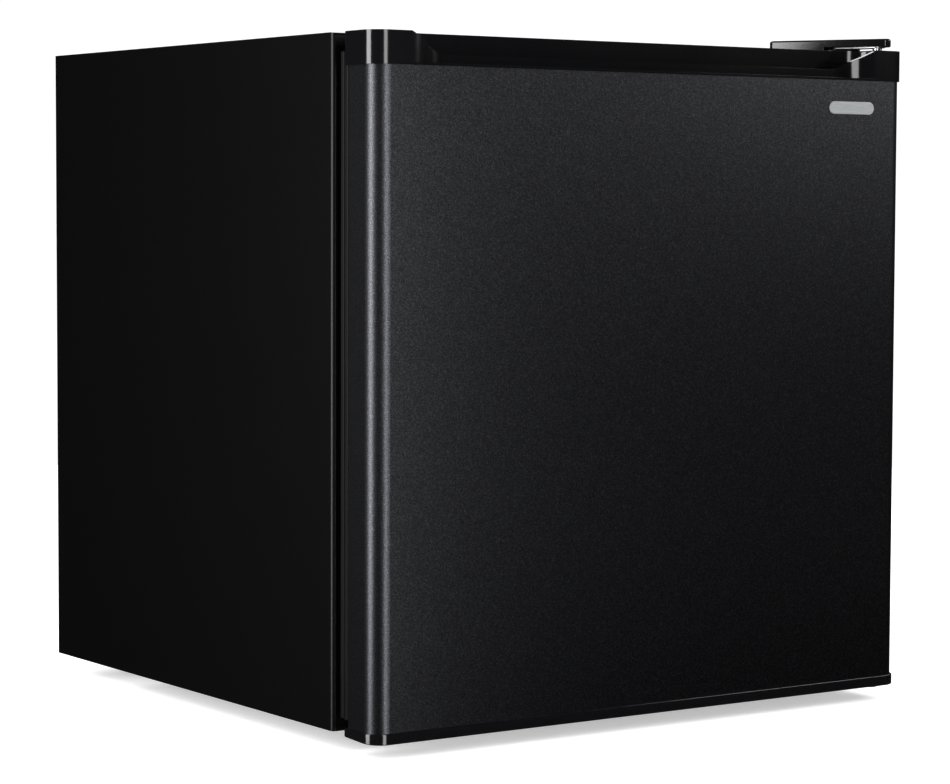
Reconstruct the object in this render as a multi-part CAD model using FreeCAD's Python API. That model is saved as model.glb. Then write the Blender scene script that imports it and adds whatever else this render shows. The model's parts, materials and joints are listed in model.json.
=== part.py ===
"""Compact cube refrigerator, as an assembly of separate parts.

Millimetres, +Z up, the door faces -Y and is hinged at +X.
Origin: centre of the overall box in X and Y, on the floor the feet stand on.
"""
import FreeCAD
import Part
import math
import os

V = FreeCAD.Vector

# --- driving dimensions -----------------------------------------------------
WIDTH = 460.0
CABINET_DEPTH = 405.0
CABINET_HEIGHT = 461.0
FOOT_HEIGHT = 14.0
DOOR_THICKNESS = 35.4
GASKET_GAP = 13.6
DOOR_DROP = 3.0
TOP_CAP_HEIGHT = 22.0
BOTTOM_CAP_HEIGHT = 7.6
DOOR_CORNER_RADIUS = 13.0
PANEL_INSET = 2.0
STEEL = 0.6
WALL = 38.0
SHEET = 1.4
CLEARANCE = 0.3
RUNNING = 0.05
BADGE_PROUD = 0.4
REAR_HEAD = 1.43

# --- derived places -----------------------------------------------------------
HALF = WIDTH / 2
OVERALL_DEPTH = BADGE_PROUD + DOOR_THICKNESS + GASKET_GAP + CABINET_DEPTH + REAR_HEAD
DOOR_FRONT = -OVERALL_DEPTH / 2 + BADGE_PROUD
DOOR_BACK = DOOR_FRONT + DOOR_THICKNESS
FLANGE = DOOR_BACK + GASKET_GAP
BACK = FLANGE + CABINET_DEPTH
BASE = FOOT_HEIGHT
TOP = BASE + CABINET_HEIGHT
DOOR_BOTTOM = BASE - DOOR_DROP
DOOR_TOP = TOP
PANEL_TOP = DOOR_TOP - TOP_CAP_HEIGHT
PANEL_BOTTOM = DOOR_BOTTOM + BOTTOM_CAP_HEIGHT

# hinge axis
PIN_X = HALF - 11.0
PIN_Y = DOOR_FRONT + 20.0
PIN_R = 3.5
BUSH_R = 6.5
BUSH_DEPTH = 14.0

# inside of the cabinet
ROOM_X = HALF - WALL
ROOM_FLOOR = BASE + 40.0
ROOM_TOP = TOP - 40.0
ROOM_BACK = BACK - STEEL - 40.0
STEP_FRONT = 62.0
STEP_TOP = 210.0
BAY_FRONT = 100.0
BAY_TOP = 176.0
FLANGE_WIDTH = 26.0
ROOM_ROUND = 7.0
FOLD_ROUND = 3.0

# freezer box, hung under the ceiling on the left
BOX_LEFT = -186.0
BOX_RIGHT = 8.0
BOX_FRONT = -36.0
BOX_BACK = 176.0
BOX_BOTTOM = 338.0
BOX_TOP = ROOM_TOP - 5.0
BOX_SHEET = 1.8
FLAP_PIN_Z = BOX_TOP - 9.0
FLAP_PIN_Y = BOX_FRONT - 12.0

# shelf
SHELF_FRONT = -104.0
SHELF_Z = 222.0
SHELF_RIB_DEPTH = 7.0

# drip tray
TRAY_FRONT = -44.0
TRAY_TOP = 330.0
TRAY_HEIGHT = 20.0

# door racks: name, underside, height, reach into the cabinet
RACKS = (
    ("lower", 88.0, 62.0, 60.0),
    ("middle", 242.0, 48.0, 60.0),
    ("upper", 346.0, 46.0, 54.0),
)
RACK_HALF = 147.5
DYKE_OUT = 176.0
DYKE_IN = 150.0
DYKE_LOW = 66.0
DYKE_HIGH = 424.0
DYKE_REACH = 30.0
DYKE_ROUND = 4.5

# knob of the thermostat
KNOB_X = ROOM_X - 22.0
KNOB_Y = -30.0
KNOB_Z = 388.0
KNOB_R = 17.0

# compressor
PUMP_X = -62.0
PUMP_Y = 164.0
PUMP_LENGTH = 132.0
PUMP_DEPTH = 104.0
PUMP_BASE = 30.0
PUMP_HEIGHT = 126.0

# feet
FOOT_X = 172.0
FOOT_FRONT_Y = FLANGE + 30.0
FOOT_BACK_Y = BACK - 26.0
FOOT_R = 13.0
STUD_R = 4.0
FOOT_SPOTS = (("left", -FOOT_X), ("right", FOOT_X))


# --- helpers --------------------------------------------------------------------
def block(x0, x1, y0, y1, z0, z1):
    return Part.makeBox(x1 - x0, y1 - y0, z1 - z0, V(x0, y0, z0))


def rod(x, y, z, radius, length, axis=V(0, 0, 1)):
    return Part.makeCylinder(radius, length, V(x, y, z), axis)


def ring(x, y, z, outer, inner, length, axis=V(0, 0, 1)):
    return rod(x, y, z, outer, length, axis).cut(rod(x, y, z, inner, length, axis))


def join(shapes):
    whole = shapes[0]
    for shape in shapes[1:]:
        whole = whole.fuse(shape)
    return whole.removeSplitter()


def group(shapes):
    return Part.makeCompound(shapes)


def prism(points, direction):
    """A closed polygon of (x, y, z) points, extruded along direction."""
    corners = [V(*p) for p in points]
    outline = Part.makePolygon(corners + corners[:1])
    return Part.Face(outline).extrude(direction)


def upright_edges(shape, spots):
    """The vertical edges of a shape that stand at the given (x, y) spots."""
    found = []
    for edge in shape.Edges:
        a = edge.Vertexes[0].Point
        b = edge.Vertexes[-1].Point
        upright = abs(a.x - b.x) < 1e-6 and abs(a.y - b.y) < 1e-6
        if upright and any(math.hypot(a.x - x, a.y - y) < 1e-3 for x, y in spots):
            found.append(edge)
    return found


def edges_behind(shape, y):
    """Every edge of a shape apart from those that lie in the plane at y."""
    return [edge for edge in shape.Edges if edge.BoundBox.YMax > y + 1e-3]


def rounded_block(x0, x1, y0, y1, z0, z1, front=0.0, back=0.0):
    """A block whose upright corners are rounded: front radius, back radius."""
    shape = block(x0, x1, y0, y1, z0, z1)
    if front:
        shape = shape.makeFillet(front, upright_edges(shape, [(x0, y0), (x1, y0)]))
    if back:
        shape = shape.makeFillet(back, upright_edges(shape, [(x0, y1), (x1, y1)]))
    return shape


def pipe(points, radius, bend):
    """A round tube of straight runs joined by tangent arcs of the bend radius."""
    route = [V(*p) for p in points]
    edges = []
    start = route[0]
    for before, corner, after in zip(route, route[1:], route[2:]):
        inward = (before - corner).normalize()
        outward = (after - corner).normalize()
        half = inward.getAngle(outward) / 2
        reach = bend / math.tan(half)
        first = corner + inward * reach
        last = corner + outward * reach
        middle_way = (inward + outward).normalize()
        middle = corner + middle_way * (bend / math.sin(half) - bend)
        edges.append(Part.LineSegment(start, first).toShape())
        edges.append(Part.Arc(first, middle, last).toShape())
        start = last
    edges.append(Part.LineSegment(start, route[-1]).toShape())
    line = Part.Wire(edges)
    section = Part.Wire([Part.makeCircle(radius, route[0], route[1] - route[0])])
    return line.makePipeShell([section], True, False)


def screw(x, y, z, head, shank, length, axis):
    """A pan-head screw: z is under the head and axis points out of the head."""
    top = rod(x, y, z, head, head * 0.55, axis)
    body = Part.makeCylinder(shank, length, V(x, y, z), axis * -1)
    return top.fuse(body)


# --- cabinet shell -----------------------------------------------------------------
def folded_block(inset, fold):
    """The outside of the cabinet, or its inside, with the front edges folded round."""
    side = HALF - inset
    shape = block(-side, side, FLANGE + inset, BACK, BASE, TOP - inset)
    folds = [
        edge
        for edge in shape.Edges
        if abs(edge.CenterOfMass.y - FLANGE - inset) < 1e-3 and edge.BoundBox.ZMax > BASE + 1
    ]
    return shape.makeFillet(fold, folds)


def wrap_inside():
    return folded_block(STEEL, FOLD_ROUND - STEEL)


def outer_wrap():
    """One folded sheet: left side, top and right side, with a front return flange."""
    sheet = folded_block(0.0, FOLD_ROUND).cut(wrap_inside())
    opening = block(
        -HALF + FLANGE_WIDTH, HALF - FLANGE_WIDTH, FLANGE, FLANGE + STEEL, BASE, TOP - FLANGE_WIDTH
    )
    return cut_hinge_holes(sheet.cut(opening))


TOP_SCREWS = ((197.0, -146.0), (214.0, -144.0))
BOTTOM_SCREWS = ((196.0, -150.0), (215.0, -150.0))
SCREW_R = 1.9


def cut_hinge_holes(sheet):
    """Screw holes for the hinge, on both sides because the door can be rehung."""
    for x, y in TOP_SCREWS:
        for side in (1, -1):
            sheet = sheet.cut(rod(side * x, y, TOP - 2, SCREW_R, 4))
    return sheet


def bottom_panel():
    """Front base sheet, from the front flange back to the compressor bay."""
    side = HALF - STEEL
    sheet = rounded_block(
        -side, side, FLANGE + STEEL, BAY_FRONT, BASE, BASE + STEEL, front=FOLD_ROUND
    )
    lip = block(
        -HALF + FLANGE_WIDTH, HALF - FLANGE_WIDTH, FLANGE, FLANGE + STEEL, BASE, BASE + FLANGE_WIDTH
    )
    sheet = join([sheet, lip])
    for x, y in BOTTOM_SCREWS:
        for side in (1, -1):
            sheet = sheet.cut(rod(side * x, y, BASE - 2, SCREW_R, 4))
    for name, x in FOOT_SPOTS:
        sheet = sheet.cut(rod(x, FOOT_FRONT_Y, BASE - 2, STUD_R + 1.0, 4))
    return sheet


def bay_plate():
    """Folded sheet that forms the front and roof of the compressor bay."""
    side = HALF - STEEL
    front = block(-side, side, BAY_FRONT, BAY_FRONT + STEEL, BASE, BAY_TOP)
    roof = block(-side, side, BAY_FRONT, BACK - STEEL, BAY_TOP, BAY_TOP + STEEL)
    plate = join([front, roof]).cut(pipe_hole())
    for side in (-1, 1):
        plate = plate.cut(rod(side * CONDENSER_X, CONDENSER_BACK, BAY_TOP - 2, 4.0, 5))
    return plate


PIPE_HOLE_X = 66.0
PIPE_HOLE_Y = 206.0
LINE_HOLE_R = 8.0


def pipe_hole():
    """Where the refrigerant lines pass up out of the bay."""
    return rod(PIPE_HOLE_X, PIPE_HOLE_Y, BAY_TOP - 2, LINE_HOLE_R, 5)


FILL_X = 96.0
FILL_Z = 330.0
FILL_R = 9.0
BACK_SCREW_SPOTS = [
    (x, z) for z in (BAY_TOP + 12, 320.0, TOP - 12) for x in (-HALF + 9, HALF - 9)
]


def back_panel():
    """Flat sheet that closes the back above the bay, with the foam filling hole."""
    side = HALF - STEEL
    sheet = block(-side, side, BACK - STEEL, BACK, BAY_TOP, TOP - STEEL)
    sheet = sheet.cut(rod(FILL_X, BACK - 3, FILL_Z, FILL_R, 6, V(0, 1, 0)))
    for x, z in BACK_SCREW_SPOTS:
        sheet = sheet.cut(rod(x, BACK - 3, z, 1.5, 6, V(0, 1, 0)))
    return sheet


def fill_plug():
    """Push-in plug of the filling hole."""
    stem = rod(FILL_X, BACK - 6, FILL_Z, FILL_R - 0.02, 6, V(0, 1, 0))
    head = rod(FILL_X, BACK, FILL_Z, FILL_R + 4, 1.0, V(0, 1, 0))
    return join([stem, head])


def back_screws():
    return [screw(x, BACK, z, 2.6, 1.45, 9, V(0, 1, 0)) for x, z in BACK_SCREW_SPOTS]


def room(grow):
    """The food space, grown outwards: the box above the floor less the rear step."""
    space = block(
        -ROOM_X - grow, ROOM_X + grow, FLANGE, ROOM_BACK + grow, ROOM_FLOOR - grow, ROOM_TOP + grow
    )
    step = block(-HALF, HALF, STEP_FRONT + grow, BACK, BASE, STEP_TOP - grow)
    space = space.cut(step)
    return space.makeFillet(ROOM_ROUND + grow, edges_behind(space, FLANGE))


RIB_LEVELS = (SHELF_Z - 1.0, SHELF_Z + 46.0)
RIB_FRONT = -120.0


def shelf_ribs():
    """Moulded ledges on both side walls, one pair for each shelf level."""
    ribs = []
    for top in RIB_LEVELS:
        for side in (-1, 1):
            inner = side * (ROOM_X - SHELF_RIB_DEPTH)
            outer = side * ROOM_X
            low, high = sorted((inner, outer))
            ribs.append(block(low, high, RIB_FRONT, ROOM_BACK - ROOM_ROUND, top - 5, top))
    return ribs


def inner_liner():
    """Vacuum-formed liner with its front border tucked behind the steel flange."""
    border = block(
        -HALF + 4, HALF - 4, FLANGE + STEEL, FLANGE + STEEL + SHEET, BASE + 4, TOP - 4
    )
    shell = border.fuse(room(SHEET)).cut(room(0))
    shell = join([shell] + shelf_ribs())
    shell = shell.cut(block(-ROOM_X, ROOM_X, FLANGE, FLANGE + 3, ROOM_FLOOR, ROOM_TOP))
    return shell.cut(liner_holes())


def liner_holes():
    """Holes in the back wall and ceiling for the lines and the hanger screws."""
    lines = rod(LINE_X, ROOM_BACK - 2, LINE_Z, LINE_HOLE_R, 6, V(0, 1, 0))
    holes = [lines]
    for x, y in HANGER_SPOTS:
        holes.append(rod(x, y, ROOM_TOP - 2, SCREW_R, 6))
    return group(holes)


LINE_X = -20.0
LINE_Z = 400.0
HANGER_SPOTS = [(x, y) for x in (-170.0, -8.0) for y in (-10.0, 150.0)]

CONDENSER_R = 2.4
CONDENSER_X = HALF - STEEL - CONDENSER_R
CONDENSER_RUNS = (200.0, 248.0, 296.0, 344.0, 392.0, 440.0)
CONDENSER_FRONT = -150.0
CONDENSER_BACK = 174.0
CONDENSER_END = 140.0


def condenser_points(side):
    """The corners of the serpentine behind one side wall, from its end in the bay."""
    x = side * CONDENSER_X
    points = [(x, CONDENSER_BACK, CONDENSER_END)]
    near = CONDENSER_BACK
    far = CONDENSER_FRONT
    for z in CONDENSER_RUNS:
        points.append((x, near, z))
        points.append((x, far, z))
        near, far = far, near
    return points


def condenser_tubes():
    return group([pipe(condenser_points(side), CONDENSER_R, 20.0) for side in (-1, 1)])


def cabinet_foam():
    """Foamed insulation between the sheet metal and the liner."""
    filled = wrap_inside().common(block(-HALF, HALF, FLANGE, BACK - STEEL, BASE + STEEL, TOP))
    border = block(-HALF + 4, HALF - 4, FLANGE, FLANGE + STEEL + SHEET, BASE + 4, TOP - 4)
    bay = block(-HALF, HALF, BAY_FRONT, BACK, BASE, BAY_TOP + STEEL)
    foam = filled.cut(border).cut(room(SHEET)).cut(bay)
    depth = 2 * CONDENSER_R
    for side in (-1, 1):
        low, high = sorted((side * (HALF - STEEL), side * (HALF - STEEL - depth)))
        top = CONDENSER_RUNS[-1] + 3
        strip = block(low, high, CONDENSER_FRONT - 3, CONDENSER_BACK + 3, BAY_TOP, top)
        foam = foam.cut(strip)
    right, left = PIPE_HOLE_X + LINE_HOLE_R, LINE_X - LINE_HOLE_R
    near, far = PIPE_HOLE_Y - LINE_HOLE_R, PIPE_HOLE_Y + LINE_HOLE_R
    low, high = LINE_Z - LINE_HOLE_R, LINE_Z + LINE_HOLE_R
    chase = block(right - 2 * LINE_HOLE_R, right, near, far, BAY_TOP, high)
    cross = block(left, right, near, far, low, high)
    inlet = block(left, left + 2 * LINE_HOLE_R, ROOM_BACK, far, low, high)
    foam = foam.cut(chase).cut(cross).cut(inlet)
    for x, y in TOP_SCREWS:
        for side in (1, -1):
            foam = foam.cut(rod(side * x, y, TOP - 16, SCREW_R, 20))
    for x, y in BOTTOM_SCREWS:
        for side in (1, -1):
            foam = foam.cut(rod(side * x, y, BASE, SCREW_R, 14))
    for name, x in FOOT_SPOTS:
        foam = foam.cut(rod(x, FOOT_FRONT_Y, BASE, 8.0, 22))
    for x, y in HANGER_SPOTS:
        foam = foam.cut(rod(x, y, ROOM_TOP, SCREW_R, 14))
    for x, z in BACK_SCREW_SPOTS:
        foam = foam.cut(rod(x, BACK - 12, z, 1.6, 14, V(0, 1, 0)))
    foam = foam.cut(rod(FILL_X, BACK - 7, FILL_Z, FILL_R, 8, V(0, 1, 0)))
    return foam.removeSplitter()


# --- compressor bay ------------------------------------------------------------------
def base_rails():
    """Two folded cross rails that carry the compressor and the rear feet."""
    rails = []
    for y in (BAY_FRONT + STEEL + 12, BACK - 38):
        tray = block(-HALF + STEEL, HALF - STEEL, y, y + 30, BASE, BASE + 12)
        hollow = block(-HALF, HALF, y + 1.2, y + 28.8, BASE + 1.2, BASE + 13)
        rails.append(tray.cut(hollow))
    plate = block(
        PUMP_X - 90, PUMP_X + 90, BAY_FRONT + STEEL + 42, BACK - 38, BASE, BASE + 1.2
    )
    whole = join(rails + [plate])
    for x, y in pump_spots():
        whole = whole.cut(rod(x, y, BASE - 1, 4.1, 4))
    for name, x in FOOT_SPOTS:
        whole = whole.cut(rod(x, FOOT_BACK_Y, BASE - 1, 3.1, 4))
    return whole


def pump_spots():
    front_y = BAY_FRONT + STEEL + 27
    back_y = BACK - 23
    return [(PUMP_X + dx, y) for dx in (-76, 76) for y in (front_y, back_y)]


def grommets():
    """Rubber mounts under the compressor feet."""
    mounts = []
    for x, y in pump_spots():
        neck = rod(x, y, BASE + 0.2, 4.0, 2.0)
        bulge = rod(x, y, BASE + 1.2, 9.0, PUMP_BASE - BASE - 3.2)
        mounts.append(neck.fuse(bulge).cut(rod(x, y, BASE, 2.6, 30)))
    return group(mounts)


def mount_bolts():
    """Shoulder bolts through the grommets, with a washer head on the feet."""
    bolts = []
    for x, y in pump_spots():
        shank = rod(x, y, BASE + 0.5, 2.55, PUMP_BASE - BASE + 0.5)
        head = rod(x, y, PUMP_BASE + 0.0, 8.0, 1.4)
        cap = rod(x, y, PUMP_BASE + 1.4, 5.0, 4.0)
        bolts.append(join([shank, head, cap]))
    return group(bolts)


def pump_feet():
    """Pressed mounting plate welded under the compressor shell."""
    ys = [y for x, y in pump_spots()]
    plate = rounded_block(
        PUMP_X - 88, PUMP_X + 88, min(ys) - 12, max(ys) + 12, PUMP_BASE - 2, PUMP_BASE, 10, 10
    )
    for x, y in pump_spots():
        plate = plate.cut(rod(x, y, PUMP_BASE - 4, 2.7, 6))
    return plate


def capsule(z0, z1, grow=0.0):
    """Rounded oval can, upright, used for both halves of the compressor shell."""
    half_x = PUMP_LENGTH / 2 + grow
    half_y = PUMP_DEPTH / 2 + grow
    corner = half_y * 0.8
    return rounded_block(
        PUMP_X - half_x, PUMP_X + half_x, PUMP_Y - half_y, PUMP_Y + half_y, z0, z1, corner, corner
    )


SEAM_Z = PUMP_BASE + 62.0
SHELL_WALL = 3.0


def edges_at(shape, z):
    return [
        e
        for e in shape.Edges
        if abs(e.BoundBox.ZMin - z) < 1e-3 and abs(e.BoundBox.ZMax - z) < 1e-3
    ]


def pump_shell(lower):
    """One drawn half of the welded shell, closed at its far end."""
    if lower:
        outer = capsule(PUMP_BASE, SEAM_Z)
        outer = outer.makeFillet(16, edges_at(outer, PUMP_BASE))
        inner = capsule(PUMP_BASE + SHELL_WALL, SEAM_Z + 1, -SHELL_WALL)
        inner = inner.makeFillet(16 - SHELL_WALL, edges_at(inner, PUMP_BASE + SHELL_WALL))
        return outer.cut(inner).cut(terminal_hole())
    outer = capsule(SEAM_Z, PUMP_BASE + PUMP_HEIGHT, 2.0)
    outer = outer.makeFillet(30, edges_at(outer, PUMP_BASE + PUMP_HEIGHT))
    roof = PUMP_BASE + PUMP_HEIGHT - SHELL_WALL
    inner = capsule(SEAM_Z - 1, roof, -SHELL_WALL)
    inner = inner.makeFillet(25, edges_at(inner, roof))
    return outer.cut(inner)


TERMINAL_X = PUMP_X + PUMP_LENGTH / 2
TERMINAL_Z = PUMP_BASE + 38.0


def terminal_hole():
    return rod(TERMINAL_X - 8, PUMP_Y, TERMINAL_Z, 9.0, 12, V(1, 0, 0))


def terminals():
    """Glass-sealed feed-through with three pins."""
    disc = rod(TERMINAL_X - SHELL_WALL, PUMP_Y, TERMINAL_Z, 8.98, SHELL_WALL, V(1, 0, 0))
    parts = [disc]
    for turn in (90, 210, 330):
        y = PUMP_Y + 4.2 * math.cos(math.radians(turn))
        z = TERMINAL_Z + 4.2 * math.sin(math.radians(turn))
        parts.append(rod(TERMINAL_X - 7, y, z, 1.1, 15, V(1, 0, 0)))
    return join(parts)


RELAY_X = TERMINAL_X + 8.5


def start_relay():
    """Plug-on start device, carrying the overload protector beside it."""
    body = block(RELAY_X, RELAY_X + 16, PUMP_Y - 15, PUMP_Y + 15, TERMINAL_Z - 13, TERMINAL_Z + 15)
    return body


def overload():
    return rod(RELAY_X + 2, PUMP_Y - 24.5, TERMINAL_Z - 2, 8.5, 15, V(1, 0, 0))


def terminal_cover():
    """Moulded cover clipped over the relay, open towards the shell."""
    x0 = TERMINAL_X + 1.5
    outer = block(x0, x0 + 30, PUMP_Y - 38, PUMP_Y + 20, TERMINAL_Z - 19, TERMINAL_Z + 21)
    outer = outer.makeFillet(4, [e for e in outer.Edges if abs(e.CenterOfMass.x - x0 - 30) < 1e-3])
    inner = block(
        x0 - 1, x0 + 28, PUMP_Y - 36, PUMP_Y + 18, TERMINAL_Z - 17, TERMINAL_Z + 19
    )
    return outer.cut(inner).cut(gland_hole())


GLAND_X = TERMINAL_X + 14.0
GLAND_Z = TERMINAL_Z + 2.0


def gland_hole():
    return rod(GLAND_X, PUMP_Y + 17, GLAND_Z, 5.5, 6, V(0, 1, 0))


def cord_gland():
    """Rubber bush in the cover where the supply cord would enter."""
    inside = ring(GLAND_X, PUMP_Y + 16.4, GLAND_Z, 7.5, 3.6, 1.6, V(0, 1, 0))
    neck = ring(GLAND_X, PUMP_Y + 18, GLAND_Z, 5.48, 3.6, 2.0, V(0, 1, 0))
    outside = ring(GLAND_X, PUMP_Y + 20, GLAND_Z, 7.5, 3.6, 4.0, V(0, 1, 0))
    return join([inside, neck, outside])


LINE_R = 3.0
STUB_X = PUMP_X + PUMP_LENGTH / 2 + 2.0


def discharge_line():
    """From the shell, along the bay, to the left side condenser."""
    x0 = PUMP_X - PUMP_LENGTH / 2 - 2.0
    points = (
        (x0, CONDENSER_BACK, SEAM_Z + 14),
        (x0 - 26, CONDENSER_BACK, SEAM_Z + 14),
        (x0 - 26, CONDENSER_BACK, SEAM_Z - 30),
        (-CONDENSER_X, CONDENSER_BACK, SEAM_Z - 30),
        (-CONDENSER_X, CONDENSER_BACK, CONDENSER_END),
    )
    return pipe(points, CONDENSER_R, 11.0)


def process_tube():
    """Pinched-off charging stub on the shell."""
    points = (
        (STUB_X, PUMP_Y - 20, SEAM_Z + 10),
        (STUB_X + 20, PUMP_Y - 20, SEAM_Z + 10),
        (STUB_X + 20, PUMP_Y - 20, SEAM_Z + 52),
    )
    tube = pipe(points, LINE_R, 9.0)
    crimp = block(
        STUB_X + 18.8, STUB_X + 21.2, PUMP_Y - 24, PUMP_Y - 16, SEAM_Z + 52, SEAM_Z + 60
    )
    return join([tube, crimp])


def suction_line():
    """From the evaporator, through the back wall and down to the shell."""
    points = (
        (LINE_X, BOX_BACK - 8, LINE_Z),
        (LINE_X, PIPE_HOLE_Y, LINE_Z),
        (PIPE_HOLE_X, PIPE_HOLE_Y, LINE_Z),
        (PIPE_HOLE_X, PIPE_HOLE_Y, SEAM_Z + 24),
        (PIPE_HOLE_X, PUMP_Y, SEAM_Z + 24),
        (STUB_X, PUMP_Y, SEAM_Z + 24),
    )
    return pipe(points, LINE_R, 9.0)


DRIER_X = 120.0
DRIER_Y = CONDENSER_BACK
DRIER_Z = 110.0
DRIER_R = 9.5


def filter_drier():
    """Copper drier, a fat tube swaged down at both ends, standing in the bay."""
    body = rod(DRIER_X, DRIER_Y, DRIER_Z - 45, DRIER_R, 90)
    top = Part.makeCone(DRIER_R, 2.6, 14, V(DRIER_X, DRIER_Y, DRIER_Z + 45))
    bottom = Part.makeCone(2.6, DRIER_R, 14, V(DRIER_X, DRIER_Y, DRIER_Z - 59))
    return join([body, top, bottom])


def capillary_tube():
    """Thin line from the drier up to the evaporator, with one coil in the bay."""
    x0 = PIPE_HOLE_X + 4.6
    points = (
        (DRIER_X, DRIER_Y, DRIER_Z + 59),
        (DRIER_X, DRIER_Y, DRIER_Z + 62.5),
        (x0, PIPE_HOLE_Y - 4.4, DRIER_Z + 62.5),
        (x0, PIPE_HOLE_Y - 4.4, LINE_Z + 4.6),
        (LINE_X - 3.4, PIPE_HOLE_Y - 4.4, LINE_Z + 4.6),
        (LINE_X - 3.4, BOX_BACK - 8, LINE_Z + 4.6),
    )
    return pipe(points, 0.9, 2.5)


def drier_inlet():
    """From the right side condenser to the foot of the drier."""
    points = (
        (CONDENSER_X, DRIER_Y, CONDENSER_END),
        (CONDENSER_X, DRIER_Y, 40.0),
        (DRIER_X, DRIER_Y, 40.0),
        (DRIER_X, DRIER_Y, DRIER_Z - 59),
    )
    return pipe(points, CONDENSER_R, 9.0)


# --- freezer box -------------------------------------------------------------------------
def evaporator():
    """Roll-bonded aluminium sheet folded into a box round the freezing space."""
    outer = block(BOX_LEFT, BOX_RIGHT, BOX_FRONT, BOX_BACK, BOX_BOTTOM, BOX_TOP)
    outer = outer.makeFillet(8, box_long_edges(outer))
    inner = block(
        BOX_LEFT + BOX_SHEET,
        BOX_RIGHT - BOX_SHEET,
        BOX_FRONT - 1,
        BOX_BACK + 1,
        BOX_BOTTOM + BOX_SHEET,
        BOX_TOP - BOX_SHEET,
    )
    inner = inner.makeFillet(8 - BOX_SHEET, box_long_edges(inner))
    header = rod(LINE_X, BOX_BACK - 22, LINE_Z, 6.0, 14, V(0, 1, 0))
    strap = block(LINE_X - 2, LINE_X + 2, BOX_BACK - 22, BOX_BACK - 8, LINE_Z, BOX_TOP - BOX_SHEET)
    sheet = join([outer.cut(inner), header, strap])
    return sheet.cut(hanger_holes())


def box_long_edges(shape):
    """The four edges that run front to back."""
    return [
        e
        for e in shape.Edges
        if abs(e.Vertexes[0].Point.x - e.Vertexes[-1].Point.x) < 1e-6
        and abs(e.Vertexes[0].Point.z - e.Vertexes[-1].Point.z) < 1e-6
    ]


def hanger_holes():
    return group([rod(x, y, BOX_TOP - 4, SCREW_R, 8) for x, y in HANGER_SPOTS])


def hanger_spacers():
    """Plastic spacers and screws that hang the box from the ceiling."""
    parts = []
    for x, y in HANGER_SPOTS:
        parts.append(ring(x, y, BOX_TOP, 7.0, SCREW_R + 0.1, ROOM_TOP - BOX_TOP))
    return group(parts)


def hanger_screws():
    under = BOX_TOP - BOX_SHEET
    return [screw(x, y, under, 3.6, SCREW_R - 0.1, 18, V(0, 0, -1)) for x, y in HANGER_SPOTS]


FRAME_BAR = 7.0
FRAME_OVERLAP = 8.0
FLAP_THICK = 3.2
FRAME_FRONT = FLAP_PIN_Y + FLAP_THICK / 2 + CLEARANCE


def freezer_frame():
    """Moulded surround on the mouth of the box, with ears for the flap pins."""
    outer = block(
        BOX_LEFT - 3,
        BOX_RIGHT + 3,
        FRAME_FRONT,
        BOX_FRONT + FRAME_OVERLAP,
        BOX_BOTTOM - 3,
        BOX_TOP + 3,
    )
    mouth = block(
        BOX_LEFT + FRAME_BAR,
        BOX_RIGHT - FRAME_BAR,
        FRAME_FRONT - 1,
        BOX_FRONT + FRAME_OVERLAP + 1,
        BOX_BOTTOM + FRAME_BAR,
        BOX_TOP - FRAME_BAR,
    )
    slot = block(
        BOX_LEFT - 0.01,
        BOX_RIGHT + 0.01,
        BOX_FRONT,
        BOX_FRONT + FRAME_OVERLAP + 1,
        BOX_BOTTOM - 0.01,
        BOX_TOP + 0.01,
    )
    roll_room = rod(BOX_LEFT + 2, FLAP_PIN_Y, FLAP_PIN_Z, 4.0, BOX_RIGHT - BOX_LEFT - 4, V(1, 0, 0))
    frame = outer.cut(mouth).cut(slot)
    ears = []
    for x in (BOX_LEFT - 3, BOX_RIGHT - 2):
        ears.append(
            block(x, x + 5, FLAP_PIN_Y - 4, FRAME_FRONT + 1, FLAP_PIN_Z - 4, FLAP_PIN_Z + 4)
        )
    frame = join([frame] + ears).cut(roll_room)
    pin_holes = rod(BOX_LEFT - 10, FLAP_PIN_Y, FLAP_PIN_Z, FLAP_PIN_R + RUNNING, 300, V(1, 0, 0))
    return frame.cut(pin_holes)


FLAP_PIN_R = 2.0


def freezer_flap():
    """Hinged door of the freezing space, with moulded pins and a finger ledge."""
    x0 = BOX_LEFT + 2 + CLEARANCE
    x1 = BOX_RIGHT - 2 - CLEARANCE
    low = BOX_BOTTOM + 1
    half = FLAP_THICK / 2
    reach = BOX_RIGHT - BOX_LEFT + 5
    plate = block(x0, x1, FLAP_PIN_Y - half, FLAP_PIN_Y + half, low, FLAP_PIN_Z)
    roll = rod(x0, FLAP_PIN_Y, FLAP_PIN_Z, 3.2, x1 - x0, V(1, 0, 0))
    pins = rod(BOX_LEFT - 2.5, FLAP_PIN_Y, FLAP_PIN_Z, FLAP_PIN_R, reach, V(1, 0, 0))
    centre = (x0 + x1) / 2
    ledge = block(centre - 30, centre + 30, FLAP_PIN_Y - 9, FLAP_PIN_Y - 1, low + 4, low + 6.5)
    return join([plate, roll, pins, ledge])


def tray_rails():
    """Channel rails under the box that the drip tray slides in."""
    rails = []
    for x, side in ((BOX_LEFT + 1, 1), (BOX_RIGHT - 1, -1)):
        low, high = sorted((x, x + side * 9))
        outer = block(low, high, BOX_FRONT + 12, BOX_BACK - 10, TRAY_TOP - 6, BOX_BOTTOM)
        low, high = sorted((x + side * 2, x + side * 10))
        groove = block(low, high, BOX_FRONT, BOX_BACK, TRAY_TOP - 4, TRAY_TOP + 2)
        rails.append(outer.cut(groove))
    return group(rails)


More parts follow.
